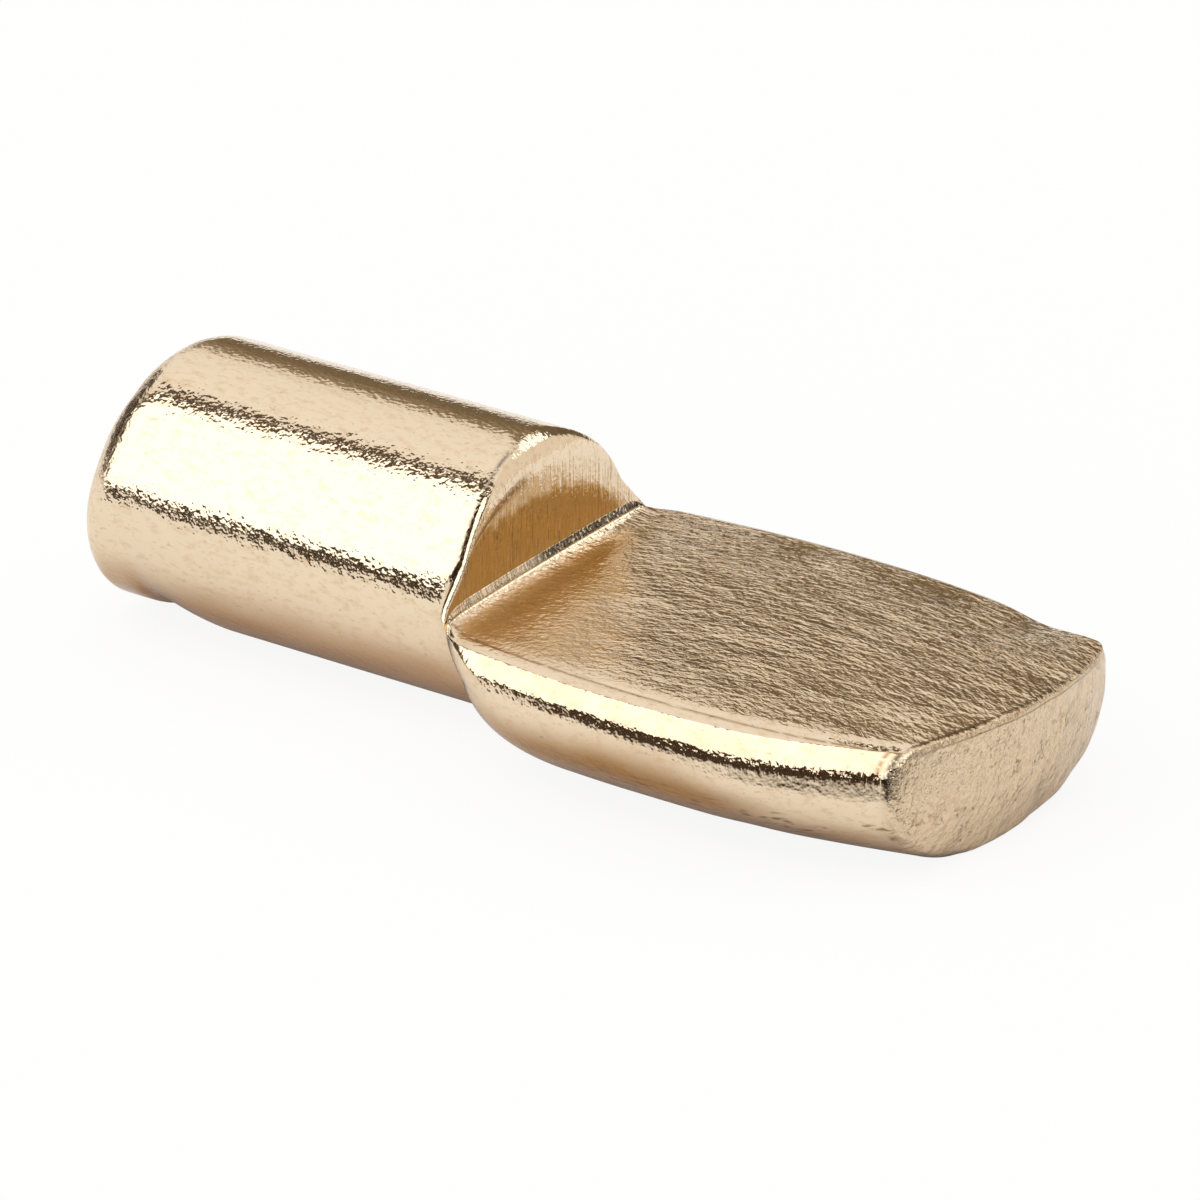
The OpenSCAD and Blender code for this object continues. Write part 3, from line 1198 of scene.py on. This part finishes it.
    def fill(self, vertices: Grid, quads: Grid, fans: Grid) -> bpy.types.Mesh:
        """Put vertices and faces into a new mesh, turned outwards.

        Args:
            vertices: Points in metres.
            quads: Corner numbers of the four-sided faces.
            fans: Corner numbers of the triangles at the two ends.

        Returns:
            The new mesh, smooth shaded.
        """
        a, b, c, d = (vertices[quads[:, n]] for n in range(4))
        volume = (a * np.cross(b, c)).sum() + (a * np.cross(c, d)).sum()
        if volume < 0.0:
            quads, fans = quads[:, ::-1], fans[:, ::-1]
        mesh = bpy.data.meshes.new(self.name)
        corners = np.concatenate([quads.ravel(), fans.ravel()]).astype(np.int32)
        starts = np.concatenate([np.arange(len(quads)) * 4, len(quads) * 4 + np.arange(len(fans)) * 3])
        mesh.vertices.add(len(vertices))
        mesh.vertices.foreach_set("co", vertices.astype(np.float32).ravel())
        mesh.loops.add(len(corners))
        mesh.loops.foreach_set("vertex_index", corners)
        mesh.polygons.add(len(starts))
        mesh.polygons.foreach_set("loop_start", starts.astype(np.int32))
        mesh.polygons.foreach_set("use_smooth", np.ones(len(starts), dtype=bool))
        mesh.update(calc_edges=True)
        mesh.validate()
        return mesh

    def store(self, mesh: bpy.types.Mesh, masks: dict[Zone, Grid], points: Grid) -> None:
        """Keep the masks and the ripple frame as attributes of the mesh.

        Args:
            mesh: Mesh that takes them.
            masks: Mask of each zone.
            points: Points of the skin in mm.
        """
        for zone, mask in masks.items():
            values = np.concatenate([mask.ravel(), [mask[0].mean(), mask[-1].mean()]])
            layer = mesh.attributes.new(zone.value, "FLOAT", "POINT")
            layer.data.foreach_set("value", values.astype(np.float32))
        grain = self.grain(points).reshape(-1, 3)
        grain = np.concatenate([grain, grain[:1], grain[-1:]])
        layer = mesh.attributes.new("grain", "FLOAT_VECTOR", "POINT")
        layer.data.foreach_set("vector", grain.astype(np.float32).ravel())

    def dress(self, piece: bpy.types.Object, finish: "BrassPlate") -> None:
        """Give the piece its plating, and its place on the CAD body.

        Args:
            piece: Object that was built.
            finish: Plating to use.
        """
        piece.data.materials.append(finish.material())
        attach(piece, "root")
        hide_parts("support_pin")


class Mark(Enum):
    """Ways in which a noise marks the skin: by lifting it, by lines at its middle, by spots at its peaks."""

    RELIEF = "relief"
    STROKE = "stroke"
    SPECK = "speck"


@dataclass(frozen=True)
class Pattern:
    """One noise pattern of the skin. Sizes are in mm.

    High is a relief's height in mm or a stain's strength, peaks are the noise values where a spot
    begins and is full, and a broken pattern is cut by a slow noise.
    """

    size: Triple
    high: float
    zone: Zone | None = None
    mark: Mark = Mark.RELIEF
    detail: float = 2.0
    rough: float = 0.5
    distort: float = 0.0
    on_grain: bool = False
    peaks: Pair = (0.62, 0.7)
    broken: bool = False
    colour: str = "#8f6a3c"

    def scale(self) -> Triple:
        """Cells per unit along each axis, none along an axis whose size is 0."""
        unit = 1.0 if self.on_grain else MM
        return tuple(1 / (n * unit) if n else 0.0 for n in self.size)


@dataclass(frozen=True)
class BrassPlate:
    """Brass-plated steel: bright electroplate over drawn, struck and sheared wire.

    The plate is thin and follows what is under it, so the eye gets sharp pale-gold reflections
    with ragged borders, over the marks that each tool left in the steel. Pattern sizes are in mm.
    """

    plate: str = "#ecdabf"
    # Deeper gold: a tint on the seat and the tip, and painted shade and reflection in the step's corner and
    # the shoulder's crease.
    gold_tint_and_shade: str = "#b48b46"
    # Painted shade of the lower sides and the belly, where they mirror the shaded floor.
    underside: str = "#a67a44"
    roughness: float = 0.09
    # What each zone adds to the roughness, and how far it turns the plate to the deeper gold: a tint on the
    # seat and the tip, and painted shade and reflection in the step's corner and the shoulder's crease.
    roughened: tuple[tuple[Zone, float], ...] = ((Zone.TIP, 0.1), (Zone.HAZE, 0.3), (Zone.CROP, 0.2))
    gold_tint_and_shade_parts: tuple[tuple[Zone, float], ...] = (
        # Painted gold shade and reflection of the step's corner, with the bevel's faint tint.
        (Zone.NOOK, 0.95),
        # Painted shade of the shoulder's crease.
        (Zone.CREASE, 0.55),
        (Zone.SEAT, 0.12),
        (Zone.TIP, 0.12),
    )
    # Half width of a stroke in noise values, and the slow noise that breaks marks up.
    line_width: float = 0.03
    breaks: Pattern = Pattern((0.6, 0.6, 0.6), 1.0, mark=Mark.SPECK, detail=1.0, peaks=(0.48, 0.58))
    # Skin of the plate, whose real grain is far finer and is drawn this coarse to show, over slow waves.
    # Then the marks of striker, draw die, fillet, shears and crop, and those of the side and the belly.
    reliefs: tuple[Pattern, ...] = (
        Pattern((0.12, 0.12, 0.12), 0.012, detail=1.0),
        Pattern((0.7, 0.45, 0.45), 0.01, detail=1.0),
        Pattern((0.4, 0.13, 0.0), 0.056, Zone.SEAT, detail=2.5, distort=0.5, on_grain=True),
        Pattern((0.26, 0.15, 0.0), 0.042, Zone.SEAT, distort=0.8),
        Pattern((1.7, 0.8, 0.0), 0.1, Zone.SEAT, detail=1.0),
        Pattern((9.0, 0.13, 0.0), 0.008, Zone.SEAT),
        Pattern((0.0, 0.09, 1.6), 0.032, Zone.STEP),
        Pattern((0.0, 0.08, 0.0), 0.11, Zone.FILLET, detail=1.0),
        Pattern((0.4, 0.4, 0.6), 0.1, Zone.TIP, detail=1.0),
        Pattern((0.1, 0.1, 0.13), 0.05, Zone.TIP, detail=3.0, rough=0.6),
        Pattern((0.2, 0.2, 0.4), 0.035, Zone.CROP, detail=3.0),
        Pattern((0.08, 0.0, 0.45), 0.04, Zone.HAIR),
        Pattern((0.6, 0.25, 0.25), 0.035, Zone.BELLY),
    )
    # Tarnish and specks all over, the tip's mottle, pits and folds, draw marks of the step, folds of
    # the belly, hair marks, brown rims, dark marks and painted dark reflection.
    stains: tuple[Pattern, ...] = (
        Pattern(
            (0.3, 0.15, 0.15), 0.4, None, Mark.SPECK,
            detail=4.0, rough=0.6, peaks=(0.5, 0.72), colour="#c8a26c",
        ),
        Pattern((0.16, 0.08, 0.08), 0.3, None, Mark.SPECK, peaks=(0.64, 0.74)),
        Pattern(
            (0.09, 0.09, 0.11), 0.25, Zone.TIP, Mark.SPECK,
            detail=3.0, peaks=(0.45, 0.7), colour="#b08a66",
        ),
        Pattern(
            (0.13, 0.13, 0.15), 0.7, Zone.TIP, Mark.SPECK,
            detail=4.0, peaks=(0.6, 0.68), broken=True, colour="#6e4f2e",
        ),
        Pattern((0.6, 0.6, 0.9), 0.5, Zone.TIP, Mark.STROKE, detail=4.0, broken=True),
        Pattern((0.0, 0.12, 3.0), 0.5, Zone.STEP, Mark.STROKE, broken=True),
        Pattern(
            (0.7, 0.12, 0.12), 0.8, Zone.BELLY, Mark.SPECK,
            detail=3.0, peaks=(0.49, 0.6), broken=True, colour="#6b4d2c",
        ),
        Pattern((0.07, 0.0, 0.4), 0.5, Zone.HAIR, Mark.SPECK, peaks=(0.52, 0.62)),
        Pattern((0.25, 0.1, 0.1), 0.85, Zone.RIM, Mark.SPECK, peaks=(0.3, 0.45)),
        # Dark marks and painted dark reflection, in dark brown.
        Pattern((0.08, 0.08, 0.08), 0.9, Zone.SOOT, Mark.SPECK, peaks=(0.36, 0.48), colour="#40372b"),
    )

    def material(self) -> bpy.types.Material:
        """Build the plating's material.

        Returns:
            The new material.
        """
        material = bpy.data.materials.new("brass_plated_steel")
        material.use_nodes = True
        tree = material.node_tree
        tree.nodes.clear()
        place = add_node(tree, "TexCoord")["Object"]
        grain = add_node(tree, "Attribute", attribute_name="grain")["Vector"]
        masks = {z: add_node(tree, "Attribute", attribute_name=z.value)["Fac"] for z in Zone}
        height: Any = 0.0
        for pattern in self.reliefs:
            noise = self.noise(tree, grain if pattern.on_grain else place, pattern)
            weight = self.weight(tree, masks, pattern)
            height = add_node(tree, "Math", {0: noise, 1: weight, 2: height}, operation="MULTIPLY_ADD")[0]
        bump = add_node(tree, "Bump", {"Height": height, "Strength": 1.0, "Distance": MM})["Normal"]
        shader = add_node(
            tree,
            "BsdfPrincipled",
            {
                "Base Color": self.colour(tree, place, masks),
                "Metallic": 1.0,
                "Roughness": self.summed(tree, masks, self.roughened, self.roughness),
                "Normal": bump,
            },
        )[0]
        add_node(tree, "OutputMaterial", {"Surface": shader})
        return material

    @staticmethod
    def summed(
        tree: bpy.types.NodeTree, masks: dict[Zone, Any], parts: tuple[tuple[Zone, float], ...], start: float
    ) -> Any:
        """Add up what zones give to a value: each mask times its amount, on top of a start.

        Args:
            tree: Node tree of the material.
            masks: Socket of each zone's mask.
            parts: Zones with their amounts.
            start: Value outside the zones.

        Returns:
            Socket of the sum.
        """
        total: Any = start
        for zone, amount in parts:
            total = add_node(tree, "Math", {0: masks[zone], 1: amount, 2: total}, operation="MULTIPLY_ADD")[0]
        return total

    @staticmethod
    def noise(tree: bpy.types.NodeTree, source: Any, pattern: Pattern) -> Any:
        """Sample a pattern's noise.

        Args:
            tree: Node tree of the material.
            source: Socket of the coordinates.
            pattern: Sizes of the pattern.

        Returns:
            Socket of the noise, from 0 to 1.
        """
        mapped = add_node(tree, "Mapping", {"Vector": source, "Scale": pattern.scale()})[0]
        inputs = {
            "Vector": mapped,
            "Scale": 1.0,
            "Detail": pattern.detail,
            "Roughness": pattern.rough,
            "Distortion": pattern.distort,
        }
        return add_node(tree, "TexNoise", inputs)[0]

    @staticmethod
    def weight(tree: bpy.types.NodeTree, masks: dict[Zone, Any], pattern: Pattern) -> Any:
        """Give a pattern's height, or its height times its zone's mask.

        Args:
            tree: Node tree of the material.
            masks: Socket of each zone's mask.
            pattern: Says the height and the zone.

        Returns:
            The height, or the socket of the product.
        """
        if pattern.zone is None:
            return pattern.high
        return add_node(tree, "Math", {0: masks[pattern.zone], 1: pattern.high}, operation="MULTIPLY")[0]

    def mark(self, tree: bpy.types.NodeTree, place: Any, pattern: Pattern) -> Any:
        """Give a stain's strength from 0 to 1: spots at its noise's peaks or lines at its middle.

        Args:
            tree: Node tree of the material.
            place: Socket of the object's coordinates.
            pattern: Says which of the two, and where the spots begin and are full.

        Returns:
            Socket of the strength.
        """
        noise = self.noise(tree, place, pattern)
        if pattern.mark is Mark.SPECK:
            low, full = pattern.peaks
            return add_node(tree, "MapRange", {"Value": noise, "From Min": low, "From Max": full})[0]
        off = add_node(tree, "Math", {0: noise, 1: 0.5}, operation="SUBTRACT")[0]
        away = add_node(tree, "Math", {0: off}, operation="ABSOLUTE")[0]
        inputs = {"Value": away, "From Max": self.line_width, "To Min": 1.0, "To Max": 0.0}
        return add_node(tree, "MapRange", inputs)[0]

    def colour(self, tree: bpy.types.NodeTree, place: Any, masks: dict[Zone, Any]) -> Any:
        """Tint the plate: deeper gold for the tints and the painted shade and reflection, painted shade in
        darker gold underneath, brown in the stains.

        Broken stains are cut by a slow noise, so that they stay short and apart.

        Args:
            tree: Node tree of the material.
            place: Socket of the object's coordinates.
            masks: Socket of each zone's mask.

        Returns:
            Socket of the colour.
        """
        gold = self.summed(tree, masks, self.gold_tint_and_shade_parts, 0.0)
        # Deeper gold of the tints and of the painted shade and reflection, then the painted shade underneath.
        layers = [(gold, self.gold_tint_and_shade), (masks[Zone.LOW], self.underside)]
        broken = self.mark(tree, place, self.breaks)
        for pattern in self.stains:
            shown = self.mark(tree, place, pattern)
            weights = [self.weight(tree, masks, pattern)]
            if pattern.broken:
                weights.append(broken)
            for weight in weights:
                shown = add_node(tree, "Math", {0: shown, 1: weight}, operation="MULTIPLY")[0]
            layers.append((shown, pattern.colour))
        colour: Any = linear(self.plate)
        for shown, code in layers:
            colour = add_node(tree, "Mix", {0: shown, 6: colour, 7: linear(code)}, data_type="RGBA")[2]
        return colour


@dataclass(frozen=True)
class Studio:
    """Plain soft studio: a bright near side, a dimmer far side with a long lamp high in it, a pale floor.

    Places in the world are parts of a direction of length 1, and those of the bands and flags go from
    0 to 1 as that part goes from -1 to 1.
    """

    strength: float = 1.8
    # Brightness from the near side to the far side, with the dark gap that the metal's lines show.
    bands: Stops = (
        (0.0, WHITE),
        (0.4175, "#fffefc"),
        (0.4215, "#44372a"),
        (0.488, "#44372a"),
        (0.498, "#c9c6c3"),
        (0.77, "#c4c0bc"),
        (0.835, "#b8b2ab"),
        (0.85, "#7c6f5e"),
        (0.90, "#5f523f"),
        (0.96, "#554a3c"),
    )
    # What is left of it from the pin's end to the tip's end, with dark flags near both.
    flags: Stops = (
        (0.07, "#463a2f"),
        (0.095, WHITE),
        (0.77, WHITE),
        (0.80, "#54493d"),
        (0.90, "#54493d"),
        (0.94, "#c8c6c3"),
    )
    # Even fill on the far side towards the tip.
    fill: str = "#bbb4ab"
    fill_x: Pair = (0.2, 0.35)
    fill_y: Pair = (0.1, 0.3)
    # Lamp: an ellipsoid of directions, with a soft edge in half widths.
    lamp_at: Triple = (0.12, 0.75, 0.62)
    lamp_half: Triple = (0.33, 0.07, 0.2)
    lamp_edge: Pair = (1.1, 0.9)
    # Floor in metres, and how far its colour is lifted to white for the camera.
    floor_half: float = 1.0
    floor_colour: str = "#fafafa"
    camera_lift: float = 0.9
    # In the metal only: the card's near edge, which is turned, then a dark gap up to a bright sweep.
    card_turn_deg: float = 25.0
    card_mm: Pair = (10.0, 12.5)
    gap_mm: Pair = (60.0, 65.0)
    gap_colour: str = "#46382b"

    def light(self) -> None:
        """Light the scene from the world, by bands and flags of brightness, a fill and a lamp.

        The bands by the direction's Y are multiplied by the flags by its X. The fill and then the lamp
        are laid over them. The camera sees white.
        """
        world = bpy.data.worlds.new("studio")
        bpy.context.scene.world = world
        world.use_nodes = True
        tree = world.node_tree
        tree.nodes.clear()
        way = add_node(tree, "TexCoord")["Generated"]
        parts = add_node(tree, "SeparateXYZ", {0: way})
        ramps, fades = [], []
        for axis, stops, (start, full) in (("Y", self.bands, self.fill_y), ("X", self.flags, self.fill_x)):
            place = add_node(tree, "Math", {0: parts[axis], 1: 0.5, 2: 0.5}, operation="MULTIPLY_ADD")[0]
            ramps.append(add_node(tree, "ValToRGB", {0: place})[0])
            elements = ramps[-1].node.color_ramp.elements
            while len(elements) < len(stops):
                elements.new(1.0)
            for element, (at, code) in zip(elements, stops):
                element.position = at
                element.color = linear(code)
            inputs = {"Value": parts[axis], "From Min": start, "From Max": full}
            fades.append(add_node(tree, "MapRange", inputs)[0])
        cut = add_node(
            tree, "Mix", {0: 1.0, 6: ramps[0], 7: ramps[1]}, data_type="RGBA", blend_type="MULTIPLY"
        )[2]
        filled = add_node(tree, "Math", {0: fades[0], 1: fades[1]}, operation="MULTIPLY")[0]
        fill = add_node(tree, "Mix", {0: filled, 6: cut, 7: linear(self.fill)}, data_type="RGBA")[2]
        centred = add_node(
            tree,
            "Mapping",
            {
                "Vector": way,
                "Location": tuple(-c / s for c, s in zip(self.lamp_at, self.lamp_half)),
                "Scale": tuple(1.0 / s for s in self.lamp_half),
            },
        )[0]
        aim = add_node(tree, "VectorMath", {0: centred}, operation="LENGTH")["Value"]
        start, full = self.lamp_edge
        lamp = add_node(tree, "MapRange", {"Value": aim, "From Min": start, "From Max": full})[0]
        lit = add_node(tree, "Mix", {0: lamp, 6: fill, 7: linear(WHITE)}, data_type="RGBA")[2]
        studio = add_node(tree, "Background", {0: lit, 1: self.strength})[0]
        white = add_node(tree, "Background", {0: linear(WHITE), 1: 1.0})[0]
        camera = add_node(tree, "LightPath")["Is Camera Ray"]
        shown = add_node(tree, "MixShader", {0: camera, 1: studio, 2: white})[0]
        add_node(tree, "OutputWorld", {"Surface": shown})

    def floor(self, height: float) -> bpy.types.Object:
        """Lay the pale floor under the part.

        Args:
            height: Height of the floor in metres.

        Returns:
            The floor object.
        """
        half = self.floor_half
        corners = [(x * half, y * half, height) for x, y in ((-1, -1), (1, -1), (1, 1), (-1, 1))]
        mesh = bpy.data.meshes.new("floor")
        mesh.from_pydata(corners, [], [(0, 1, 2, 3)])
        mesh.materials.append(self.floor_material())
        floor = bpy.data.objects.new("floor", mesh)
        bpy.context.scene.collection.objects.link(floor)
        floor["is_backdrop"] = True
        return floor

    def floor_material(self) -> bpy.types.Material:
        """Build the floor: matt pale card, lifted to white for the camera, which keeps the soft shadow.

        In the metal the card ends on a straight turned line on the near side, with a dark gap and then
        a bright sweep beyond it. From below the floor is clear.

        Returns:
            The new material.
        """
        material = bpy.data.materials.new("pale_card")
        material.use_nodes = True
        tree = material.node_tree
        tree.nodes.clear()
        rays = add_node(tree, "LightPath")
        place = add_node(tree, "TexCoord")["Object"]
        turn = (0.0, 0.0, math.radians(self.card_turn_deg))
        in_mm = (1 / MM, -1 / MM, 0.0)
        flat = add_node(tree, "Mapping", {"Vector": place, "Rotation": turn, "Scale": in_mm})[0]
        out = add_node(tree, "SeparateXYZ", {0: flat})["Y"]
        past_card, past_gap = (
            add_node(tree, "MapRange", {"Value": out, "From Min": start, "From Max": full})[0]
            for start, full in (self.card_mm, self.gap_mm)
        )
        gap, sweep, white = (
            add_node(tree, "Emission", {"Color": linear(code), "Strength": strength})[0]
            for code, strength in ((self.gap_colour, 1.0), (WHITE, self.strength), (WHITE, 1.0))
        )
        card = add_node(tree, "BsdfDiffuse", {"Color": linear(self.floor_colour)})[0]
        clear = add_node(tree, "BsdfTransparent")[0]
        in_metal, lift = (
            add_node(tree, "Math", {0: rays[name], 1: share}, operation="MULTIPLY")[0]
            for name, share in (("Is Glossy Ray", past_card), ("Is Camera Ray", self.camera_lift))
        )
        below = add_node(tree, "NewGeometry")["Backfacing"]
        shown = add_node(tree, "MixShader", {0: past_gap, 1: gap, 2: sweep})[0]
        shown = add_node(tree, "MixShader", {0: in_metal, 1: card, 2: shown})[0]
        for share, over in ((lift, white), (below, clear)):
            shown = add_node(tree, "MixShader", {0: share, 1: shown, 2: over})[0]
        add_node(tree, "OutputMaterial", {"Surface": shown})
        return material


@dataclass(frozen=True)
class PhotoCamera:
    """Camera at the photograph's viewing angle. Lengths are in mm, and pixels are of a square image."""

    azimuth_deg: float = 34.679
    elevation_deg: float = 25.004
    distance: float = 202.584
    px_per_mm: float = 47.184
    centre_px: Pair = (582.154, 583.934)
    target: Triple = (1.0, 0.0, 0.0)
    sensor: float = 36.0
    # Nearest and farthest distance that is drawn, in metres.
    clip: Pair = (0.01, 10.0)

    def place(self) -> bpy.types.Object:
        """Make the camera and set it as the scene's.

        Returns:
            The camera object.
        """
        a, e = math.radians(self.azimuth_deg), math.radians(self.elevation_deg)
        back = Vector((math.sin(a) * math.cos(e), -math.cos(a) * math.cos(e), math.sin(e)))
        right = Vector((math.cos(a), math.sin(a), 0.0))
        up = back.cross(right)
        aside = (IMAGE_PX / 2 - self.centre_px[0]) / self.px_per_mm
        above = (self.centre_px[1] - IMAGE_PX / 2) / self.px_per_mm
        spot = Vector(self.target) + back * self.distance + right * aside + up * above
        data = bpy.data.cameras.new("camera")
        data.sensor_width = self.sensor
        data.lens = self.px_per_mm * self.distance * self.sensor / IMAGE_PX
        data.clip_start, data.clip_end = self.clip
        camera = bpy.data.objects.new("camera", data)
        bpy.context.scene.collection.objects.link(camera)
        turn = Matrix((right, up, back)).transposed().to_4x4()
        camera.matrix_world = Matrix.Translation(spot * MM) @ turn
        bpy.context.scene.camera = camera
        return camera


def main() -> None:
    """Place the camera, then build the part and the studio, and report each piece."""
    logging.basicConfig(level=logging.INFO, format="%(name)s: %(message)s")
    bpy.context.scene.view_settings.view_transform = "Standard"
    PhotoCamera().place()
    part = SupportPin()
    piece = part.build()
    part.dress(piece, BrassPlate())
    LOG.info("%s: %d faces", piece.name, len(piece.data.polygons))
    studio = Studio()
    studio.light()
    low = min(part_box("support_pin")[0].z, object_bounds()[0].z)
    LOG.info("%s laid at %.5f m", studio.floor(low).name, low)


if __name__ == "__main__":
    main()
